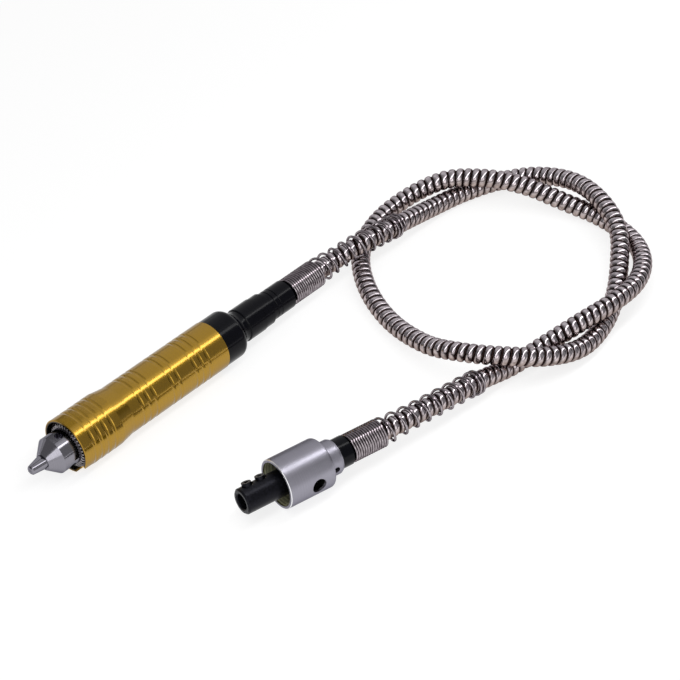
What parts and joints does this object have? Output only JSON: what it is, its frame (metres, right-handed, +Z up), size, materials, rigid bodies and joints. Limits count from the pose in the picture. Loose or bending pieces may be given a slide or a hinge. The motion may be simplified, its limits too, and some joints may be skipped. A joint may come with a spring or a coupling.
{
  "type": "rotary tool handpiece with flexible shaft",
  "caption": "Gold handpiece with a keyed three-jaw chuck, driven through a ribbed flexible shaft with strain-relief springs and a cup coupling for a motor shaft.",
  "frame": {"origin": "middle of the box round the handpiece, the coupling and the two springs, at the level of the surface that they lie on", "axes": "+X along the handpiece from its jaws to its rear cap, +Z up"},
  "size_m": [0.3459, 0.1504, 0.0287],
  "materials": {
    "gold_anodised": "gold-anodised, turned, gloss",
    "black_plastic": "moulded, semi-gloss",
    "turned_aluminium": "turned, satin",
    "plated_wire": "nickel-plated wire, bright",
    "chuck_steel": "ground and turned steel",
    "black_oxide": "black oxide on steel, satin",
    "core_wire": "twisted steel wire",
    "bearing_steel": "ground bearing steel",
    "cage_brass": "pressed brass",
    "spacer_aluminium": "turned",
    "spring_steel": "blued spring steel"
  },
  "bodies": {
    "casing": {"grip_sleeve": "gold_anodised", "front_outer_race": "bearing_steel", "front_balls": "bearing_steel", "front_cage": "cage_brass", "rear_outer_race": "bearing_steel", "rear_balls": "bearing_steel", "rear_cage": "cage_brass", "outer_spacer": "spacer_aluminium", "rear_cap": "black_plastic", "lock_collar": "black_plastic", "handle_ferrule": "black_plastic", "handle_spring": "plated_wire", "sheath": "plated_wire", "drive_core": "core_wire", "coupling_spring": "plated_wire", "coupling_ferrule": "black_plastic", "coupling_housing": "turned_aluminium", "ferrule_screw": "black_oxide", "coupling_outer_race": "bearing_steel", "coupling_balls": "bearing_steel", "coupling_cage": "cage_brass"},
    "spindle": {"spindle": "bearing_steel", "front_inner_race": "bearing_steel", "rear_inner_race": "bearing_steel", "inner_spacer": "spacer_aluminium", "spindle_circlip": "spring_steel", "core_key": "core_wire", "chuck_body": "chuck_steel"},
    "ring": {"chuck_ring": "chuck_steel", "chuck_nut": "chuck_steel"},
    "jaw_1": {"jaw_1": "chuck_steel"},
    "jaw_2": {"jaw_2": "chuck_steel"},
    "jaw_3": {"jaw_3": "chuck_steel"},
    "socket": {"drive_socket": "black_oxide", "socket_screws": "black_oxide", "coupling_inner_race": "bearing_steel", "socket_circlip": "spring_steel"}
  },
  "joints": [
    {"name": "spindle_spin", "type": "hinge", "parent": "casing", "child": "spindle", "pos_m": [-0.0654, 0.05, 0.01435], "axis": [1, 0, 0], "continuous": true},
    {"name": "chuck_ring_turn", "type": "hinge", "parent": "spindle", "child": "ring", "pos_m": [-0.0954, 0.05, 0.01435], "axis": [-1, 0, 0], "range_deg": [0, 3240]},
    {"name": "socket_spin", "type": "hinge", "parent": "casing", "child": "socket", "pos_m": [-0.0518, -0.03945, 0.0127], "axis": [-0.9806, 0.1959, 0], "continuous": true},
    {"name": "jaw_1_slide", "type": "slide", "parent": "spindle", "child": "jaw_1", "axis": [0.9799, -0.1727, 0.0997], "range_m": [0, 0.01004]},
    {"name": "jaw_2_slide", "type": "slide", "parent": "spindle", "child": "jaw_2", "axis": [0.9799, 0, -0.1994], "range_m": [0, 0.01004]},
    {"name": "jaw_3_slide", "type": "slide", "parent": "spindle", "child": "jaw_3", "axis": [0.9799, 0.1727, 0.0997], "range_m": [0, 0.01004]}
  ],
  "couplings": [
    {"joint": "socket_spin", "follows": "spindle_spin", "ratio": 1},
    {"joint": "jaw_1_slide", "follows": "chuck_ring_turn", "m_per_rad": 0.00017746},
    {"joint": "jaw_2_slide", "follows": "chuck_ring_turn", "m_per_rad": 0.00017746},
    {"joint": "jaw_3_slide", "follows": "chuck_ring_turn", "m_per_rad": 0.00017746}
  ]
}
